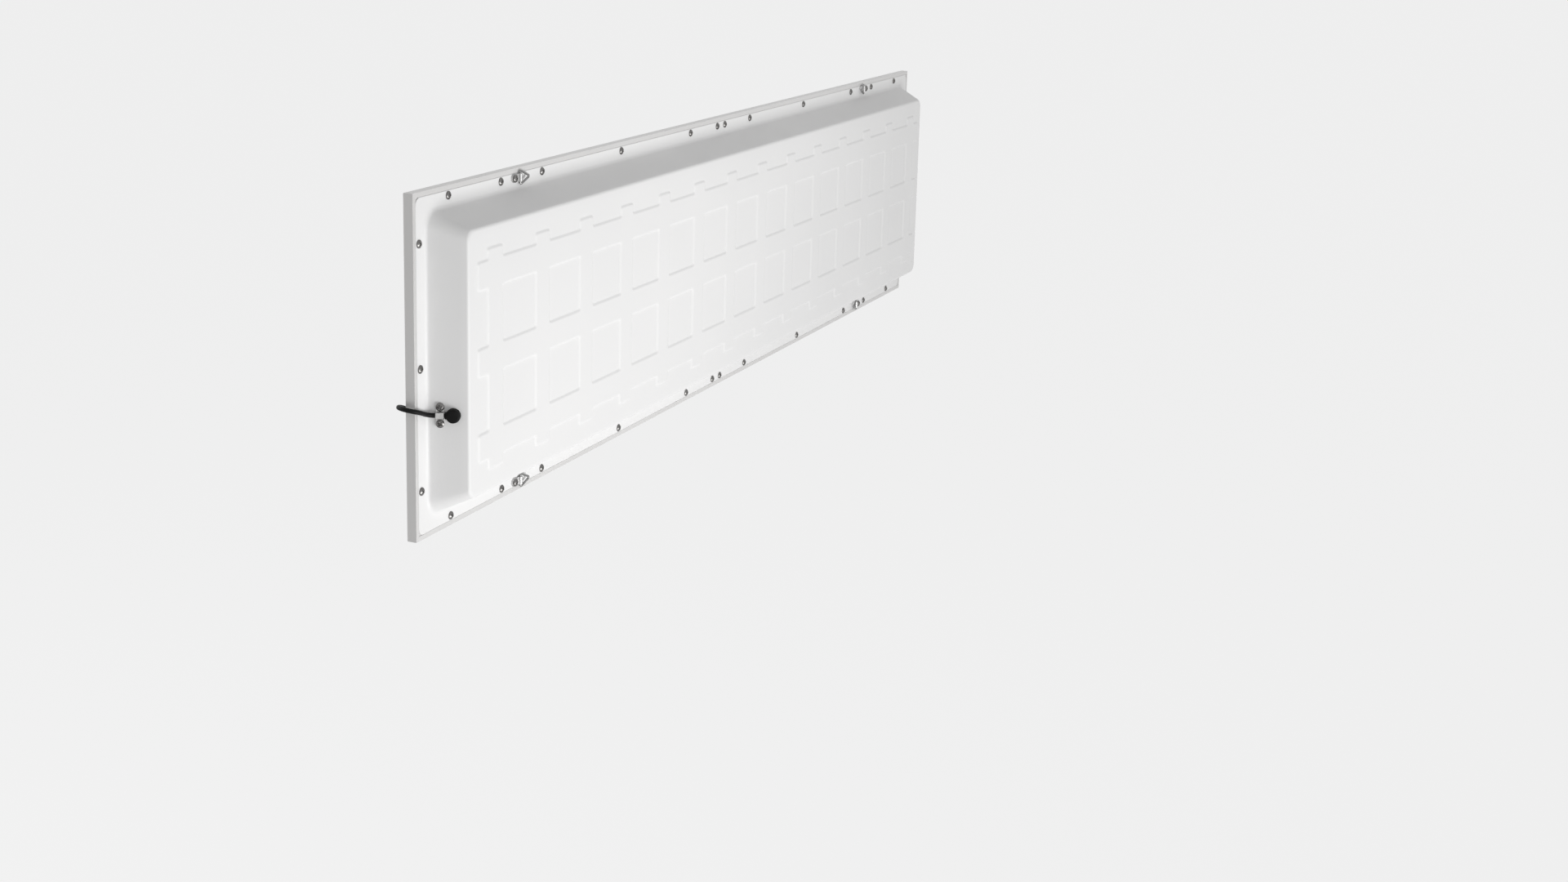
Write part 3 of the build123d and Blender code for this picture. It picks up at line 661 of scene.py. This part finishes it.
profile = pan_profile()
corner_insets = np.array([flange_inset, base_inset, plateau_inset])
corner_radii = np.array([6.0, 14.0, 9.0]) * mm
corner_radius = np.interp(profile[:, 0], corner_insets, corner_radii)
loop_i, loop_j = border_loop(len(line_x), len(line_z))
loop_x, loop_z = line_x[loop_i], line_z[loop_j]
rings = []
for (inset, depth), radius in zip(profile, corner_radius):
    ring_x, ring_z = ring_at(loop_x, loop_z, inset, radius)
    rings.append(np.stack([ring_x, np.full_like(ring_x, depth), ring_z], -1))
rings = np.array(rings)
loop_size, ring_total = len(loop_i), len(profile) * len(loop_i)
ring_quads = grid_faces(len(profile), loop_size, True)[:, ::-1]
here = np.arange(loop_size)
there = (here + 1) % loop_size
inner_number = ring_total + loop_i * len(line_z) + loop_j
outer_number = ring_total - loop_size + here
seam_quads = np.stack([outer_number, inner_number, inner_number[there], outer_number[there]], -1)
plateau_quads = grid_faces(len(line_x), len(line_z), False) + ring_total
pan_points = np.concatenate([rings.reshape(-1, 3), plateau.reshape(-1, 3)])
pan_quads = np.concatenate([ring_quads, seam_quads, plateau_quads])
pan_skin = mesh_piece(
    "pressed_pan", pan_points, pan_quads, powder_coat, "panel", "white_powder_coat",
    smooth_below=60, closed=False,
)
thickness = pan_skin.modifiers.new("sheet_thickness", "SOLIDIFY")
thickness.thickness = sheet
thickness.offset = -1.0
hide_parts("back_pan")
print("pan quads", len(pan_quads))
normal_check = np.array([p.normal[:] for p in pan_skin.data.polygons])
print("pan faces that look back", float((normal_check[:, 1] > 0).mean()))

# %% [markdown]
# ## Screws
#
# Thirty self-tapping screws hold the pan to the frame, four more hold the hanging straps and two the
# cord clip. Each is a domed head with a cross recess. A head is a surface over two parameters: the
# place along the head's outline, and the angle round its axis. The recess is pressed into the dome by
# a formula, with sides that slope like those a real punch leaves.

# %% Screw surface
def dome_profile(length):
    """Rows of (radius, height): a circle's cap 1.6 mm high on a 0.6 mm rim, then the shank and its tip."""
    ball = (3.6**2 + 1.6**2) / 3.2
    radius = np.array([0, 0.25, 0.5, 0.75, 1.0, 1.3, 1.6, 1.8, 1.95, 2.1, 2.4, 2.8, 3.15, 3.4, 3.56])
    dome = np.stack([radius, 0.6 + np.sqrt(ball**2 - radius**2) - (ball - 1.6)], -1)
    rim = [(3.6, 0.45), (3.6, 0.0)]
    shank = [(1.45, 0.0), (1.45, 1.2 - length), (0.85, -length), (0.0, -length)]
    return np.concatenate([dome, rim, shank]) * mm


def cross_recess(x, y):
    """Depth pressed into the head: two crossing slots 0.9 mm wide, 4 mm long and 1.1 mm deep, sides sloped."""
    arm_a = rounded_box(x, y, 2.0 * mm, 0.46 * mm, 0.2 * mm)
    arm_b = rounded_box(x, y, 0.46 * mm, 2.0 * mm, 0.2 * mm)
    return 1.1 * mm * smooth_step(0.5 - np.minimum(arm_a, arm_b) / (0.5 * mm))


def screw_shell(length, place, axis, spin):
    """Screw turned round its axis: radius and height from the profile, less the recess on the dome."""
    profile = dome_profile(length)
    angle = np.linspace(0, 2 * np.pi, 48, endpoint=False)
    radius, height = profile[:, :1], np.repeat(profile[:, 1:], 48, axis=1)
    x, y = radius * np.cos(angle), radius * np.sin(angle)
    on_dome = (np.arange(len(profile)) < 14)[:, None]
    height = height - np.where(on_dome, cross_recess(x, y), 0)
    axis = unit(axis)
    across = unit(np.cross(axis, (0.0, 0.0, 1.0)))
    upward = np.cross(axis, across)
    turned_x, turned_y = x * np.cos(spin) - y * np.sin(spin), x * np.sin(spin) + y * np.cos(spin)
    return place + turned_x[..., None] * across + turned_y[..., None] * upward + height[..., None] * axis


# %% Place the screws
screw_spin = np.random.default_rng(7)
screw_inset = 8.6 * mm
long_side = np.array([9.5, 76.0, 232.0, 387.0, 459.0, 544.0]) * mm
screw_row = half_height - screw_inset
flange_spots = [(s * x, t * screw_row) for x in long_side for s in (-1, 1) for t in (-1, 1)]
flange_spots += [(s * (half_length - screw_inset), z * mm) for z in (-105, 0, 105) for s in (-1, 1)]
hanger_spots = [(s * 437.0 * mm, t * screw_row) for s in (-1, 1) for t in (-1, 1)]
backward = np.array([0.0, 1.0, 0.0])


def screw_set(name, spots, depth, length, replaced):
    """One piece of many screws that all face the back, each turned by a chance angle."""
    shells = [
        screw_shell(length, np.array([x, depth, z]), backward, screw_spin.uniform(0, np.pi / 2))
        for x, z in spots
    ]
    points, faces = joined(shells)
    piece = mesh_piece(name, points, faces, dark_nickel, "panel", "nickel_screw", smooth_below=50)
    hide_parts(replaced)
    return piece


screw_set("pan_screws", flange_spots, flange_depth, 4.6, "flange_screws")
screw_set("strap_screws", hanger_spots, flange_depth + 1.6 * mm, 6.0, "hanger_screws")
print("screws", len(flange_spots), len(hanger_spots))

# %% [markdown]
# ## Hanging straps
#
# Each hanging point is a strip of zinc plated steel folded round the straight side of a wire ring, so
# both of its leaves lie under one screw. The strip is a path that runs along the lower leaf, round
# the ring's wire and back along the upper leaf, and a flat section is carried along it. Its ends are
# rounded by letting the strip's width follow a circle near each end.

# %% Paths of arcs, and a strip carried along one
def arc(centre, radius, first, last, steps):
    """Points of a circle from one angle in degrees to another."""
    angle = np.radians(np.linspace(first, last, steps))[:, None]
    return np.asarray(centre) + radius * np.concatenate([np.cos(angle), np.sin(angle)], 1)


def spaced(path, step, end_zone, end_steps):
    """The path's points again at even steps along it, and closer near its two ends."""
    length = np.concatenate([[0], np.cumsum(np.linalg.norm(np.diff(path, axis=0), axis=1))])
    close = end_zone * (1 - np.cos(np.linspace(0.12, np.pi / 2, end_steps)))
    middle = np.arange(end_zone + step, length[-1] - end_zone, step)
    at = np.concatenate([close, middle, (length[-1] - close)[::-1]])
    return np.stack([np.interp(at, length, path[:, k]) for k in range(path.shape[1])], -1), at, length[-1]


def folded_strip(path, origin, along, outward, across, thickness, width, bevel=0.12 * mm):
    """Shell of a strip: an eight-sided flat section, with small bevels, at each point of a path in the plane
    of along and outward. Half the width is sqrt(r^2 - (r - s)^2) within r of an end, so the ends are round."""
    round_end = width / 2
    flat, at, total = spaced(path, 0.35 * mm, round_end, 8)
    tangent = unit(np.gradient(flat, axis=0))
    normal = np.stack([-tangent[:, 1], tangent[:, 0]], -1)
    to_end = np.clip(np.minimum(at, total - at), 0, round_end)
    half_width = np.sqrt(round_end**2 - (round_end - to_end) ** 2)
    t, b = thickness / 2, bevel
    n = np.array([t, t, t - b, b - t, -t, -t, b - t, t - b])
    w = np.array([-1, 1, 1, 1, 1, -1, -1, -1])
    cut = np.array([b, b, 0, 0, b, b, 0, 0])
    sideways = w * np.maximum(half_width[:, None] - cut, 0.02 * mm)
    plane = flat[:, None, :] + normal[:, None, :] * n[:, None]
    grid = origin + plane[..., :1] * along + plane[..., 1:] * outward + sideways[..., None] * across
    start, end = grid[:1].mean(axis=1, keepdims=True), grid[-1:].mean(axis=1, keepdims=True)
    return np.concatenate([np.repeat(start, 8, axis=1), grid, np.repeat(end, 8, axis=1)])


# %% Straps
hinge_offset, hinge_height = 428.6 * mm, 1.88 * mm
leaf, eye = 0.8 * mm, 1.08 * mm
wrap = eye + leaf / 2
back_bend = 0.68 * mm
strap_path = np.concatenate([
    [(13.0 * mm, leaf / 2)],
    arc((0, hinge_height), wrap, 270, 0, 28),
    arc((wrap + back_bend, hinge_height), back_bend, 180, 270, 8),
    [(13.0 * mm, 1.5 * leaf)],
])
corner_signs = {"bottom_left": (-1, -1), "bottom_right": (1, -1), "top_left": (-1, 1), "top_right": (1, 1)}
for corner, (side_x, side_z) in corner_signs.items():
    hinge_foot = np.array([side_x * hinge_offset, flange_depth, side_z * screw_row])
    strip = folded_strip(
        strap_path, hinge_foot, np.array([side_x, 0, 0]), backward, np.array([0, 0, 1.0]), leaf, 7.2 * mm
    )
    strap = mesh_piece(f"folded_strap_{corner}", *joined([strip]), zinc_sheet, "panel", "zinc_plate")
    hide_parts(f"hanger_strap_{corner}")

# %% [markdown]
# ## Wire rings
#
# The rings are bent from 2 mm wire to a triangle with close corners. Each swings on its strap, so it
# rides on a body of its own. A closed path with rounded corners comes from a simple fact: it is a
# smaller triangle with a circle rolled round it. A round section is then carried along the path.

# %% Rings
def rolled_polygon(corners, radius, steps):
    """Closed path: corners moved inward, each with an arc of the radius between its two side normals."""
    corners = np.asarray(corners, dtype=float)
    side = unit(np.roll(corners, -1, axis=0) - corners)
    outward = np.stack([side[:, 1], -side[:, 0]], -1)
    before = np.roll(outward, 1, axis=0)
    centre = corners - radius * (before + outward) / (1 + (before * outward).sum(-1, keepdims=True))
    first = np.arctan2(before[:, 1], before[:, 0])
    turn_by = np.mod(np.arctan2(outward[:, 1], outward[:, 0]) - first, 2 * np.pi)
    angle = first[:, None] + turn_by[:, None] * np.linspace(0, 1, steps)
    arcs = centre[:, None] + radius * np.stack([np.cos(angle), np.sin(angle)], -1)
    return arcs.reshape(-1, 2)


def wire_loop(path, origin, along, across, radius, sides=14):
    """Round wire along a closed flat path: each section stands on the path's normal and the plane's."""
    tangent = unit(np.roll(path, -1, axis=0) - np.roll(path, 1, axis=0))
    outward = np.stack([tangent[:, 1], -tangent[:, 0]], -1)
    upright = np.cross(along, across)
    angle = np.linspace(0, 2 * np.pi, sides, endpoint=False)
    flat = path[:, None] + radius * np.cos(angle)[:, None] * outward[:, None]
    lift = np.broadcast_to(radius * np.sin(angle), flat.shape[:2])
    grid = origin + flat[..., :1] * along + flat[..., 1:] * across + lift[..., None] * upright
    return np.concatenate([grid, grid[:1]])


ring_outline = [(0, 6.3 * mm), (0, -6.3 * mm), (13.5 * mm, 0)]
ring_path = rolled_polygon(ring_outline, 1.2 * mm, 9)
lean = np.radians(8.0)
for corner, (side_x, side_z) in corner_signs.items():
    hinge = np.array([side_x * hinge_offset, flange_depth + hinge_height, side_z * screw_row])
    reach = np.array([-side_x * np.cos(lean), np.sin(lean), 0])
    grid = wire_loop(ring_path, hinge, reach, np.array([0, 0, 1.0]), 1.0 * mm)
    ring = mesh_piece(
        f"wire_ring_{corner}", *joined([grid]), zinc_wire, f"ring_{corner}", "zinc_wire", smooth_below=80
    )
    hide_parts(f"hanger_ring_{corner}")
print("ring path points", len(ring_path))

# %% [markdown]
# ## Where the cord comes out
#
# On the sloped end wall sit a rubber grommet, which turns the cord along the wall, and a saddle clip
# that holds it down. They are drawn on the wall itself, by how far up the slope a point is, how high
# off the sheet and how far across. Turned parts such as the grommet and the plug are an outline
# carried round an axis.

# %% Wall directions and turned shells
wall_foot = np.array([half_length - base_inset, flange_depth, -41.0 * mm])
up_wall = unit((-(plateau_inset - base_inset), plateau_rise, 0.0))
off_wall = unit((plateau_rise, plateau_inset - base_inset, 0.0))
across_wall = np.array([0.0, 0.0, 1.0])
cord_height = 2.15 * mm
grommet_up, clip_up = 22.0 * mm, 11.0 * mm


def on_wall(up, off, across=0.0):
    """A point of the end wall from three lengths in metres."""
    return wall_foot + up_wall * up + off_wall * off + across_wall * across


def turned(outline, origin, axis, side, steps=40):
    """Rows of (radius, length along the axis) carried round the axis; side is where angle 0 points."""
    axis, side = unit(axis), unit(side)
    other = np.cross(axis, side)
    angle = np.linspace(0, 2 * np.pi, steps, endpoint=False)
    outline = np.asarray(outline)
    circle = np.cos(angle)[:, None] * side + np.sin(angle)[:, None] * other
    return origin + outline[:, None, :1] * circle + outline[:, None, 1:] * axis


def rounded_outline(points, radii, steps=5):
    """Outline with a fillet at each inner point: the bend's arc replaces the point."""
    points = np.asarray(points, dtype=float)
    rows = [points[:1]]
    for before, corner, after, radius in zip(points, points[1:], points[2:], radii):
        rows.append(bend_points(before, corner, after, radius, steps) if radius else corner[None])
    return np.concatenate([*rows, points[-1:]])


# %% Grommet
cap_outline = rounded_outline(
    np.array([
        (0, 6.4), (6.0, 6.4), (6.0, 1.5), (6.2, 1.5), (6.2, 0.0),
        (3.9, 0.0), (3.9, -0.6), (4.9, -0.6), (4.9, -2.2), (0, -2.2),
    ]) * mm,
    np.array([2.4, 0.1, 0.08, 0.3, 0, 0, 0.3, 0.6]) * mm,
)
nozzle_outline = rounded_outline(
    np.array([(0, -0.5), (3.1, -0.5), (3.1, 6.75), (2.05, 6.75), (2.05, 4.0), (0, 4.0)]) * mm,
    np.array([0.5, 0.5, 0.2, 0]) * mm,
)
cap = turned(cap_outline, on_wall(grommet_up, 0.0), off_wall, across_wall, 48)
nozzle = turned(nozzle_outline, on_wall(grommet_up, cord_height), -up_wall, across_wall, 36)
nozzle_height = (nozzle - wall_foot) @ off_wall
nozzle = nozzle + np.maximum(0.02 * mm - nozzle_height, 0)[..., None] * off_wall
grommet = mesh_piece(
    "cord_grommet", *joined([cap, nozzle]), black_rubber, "panel", "black_rubber", smooth_below=50
)
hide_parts("cable_grommet")

# %% Saddle clip and its screws
saddle = 2.9 * mm
foot_bend = 0.6 * mm
ear = 11.0 * mm
half_path = np.concatenate([
    [(ear, leaf / 2)],
    arc((saddle + foot_bend, leaf / 2 + foot_bend), foot_bend, 270, 180, 7),
    arc((0, cord_height), saddle, 0, 90, 14),
])
clip_path = np.concatenate([half_path, half_path[-2::-1] * (-1, 1)])
clip_foot = on_wall(clip_up, 0.0)
clip_strip = folded_strip(clip_path, clip_foot, across_wall, off_wall, up_wall, leaf, 7.0 * mm)
clip = mesh_piece("saddle_clip", *joined([clip_strip]), zinc_sheet, "panel", "zinc_plate")
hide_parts("cable_clip")
clip_shells = [
    screw_shell(4.5, on_wall(clip_up, leaf, s * 7.2 * mm), off_wall, screw_spin.uniform(0, np.pi / 2))
    for s in (-1, 1)
]
clip_screws = mesh_piece(
    "saddle_screws", *joined(clip_shells), dark_nickel, "panel", "nickel_screw", smooth_below=50
)
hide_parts("clip_screws")

# %% Plug
plug_axis = unit(cord_route[-1] - cord_route[-2])
relief_at = np.linspace(0, 10.0, 61)
ribbed = (relief_at > 0.9) * (relief_at < 9.4)
relief_ribs = 0.35 * smooth_step(0.5 + 0.9 * np.cos(relief_at * 2 * np.pi / 2.0)) * ribbed
relief = np.stack([2.4 + 0.08 * relief_at - 0.35 + relief_ribs, relief_at], -1)
grip = rounded_outline(
    [(3.0, 10.0), (4.9, 10.0), (4.9, 13.0), (4.55, 13.6),
     (4.55, 24.0), (4.9, 24.6), (4.9, 30.0), (3.0, 30.0)],
    [0.9, 0.5, 0.4, 0.4, 0.5, 0.8],
)
plug_outline = np.concatenate([[(0, 0)], relief, grip, [(0, 30.0)]]) * mm
plug_grid = turned(plug_outline, cord_route[-1], plug_axis, (1.0, 0, 0), 48)
along_plug = (plug_grid - cord_route[-1]) @ plug_axis
spoke = plug_grid - cord_route[-1] - along_plug[..., None] * plug_axis
angle = np.arctan2(spoke @ np.cross(plug_axis, unit((1.0, 0, 0))), spoke @ np.array([1.0, 0, 0]))
waist = smooth_step(along_plug / mm - 14.0) * smooth_step(23.6 - along_plug / mm)
flute = 0.16 * mm * np.cos(16 * angle) * waist
plug_grid = plug_grid + unit(spoke + 1e-12) * flute[..., None]
plug = mesh_piece("plug_moulding", *joined([plug_grid]), plug_black, "panel", "black_plug", smooth_below=50)
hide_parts("plug_body")

# %% [markdown]
# ## The cord's finish
#
# The cord gets its black sheath finish and rides on the panel's body, and the CAD cable is hidden.

supply_cord.data.materials.append(cord_sheath)
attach(supply_cord, "panel")
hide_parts("cable")

# %% View transform
bpy.context.scene.view_settings.view_transform = "Standard"
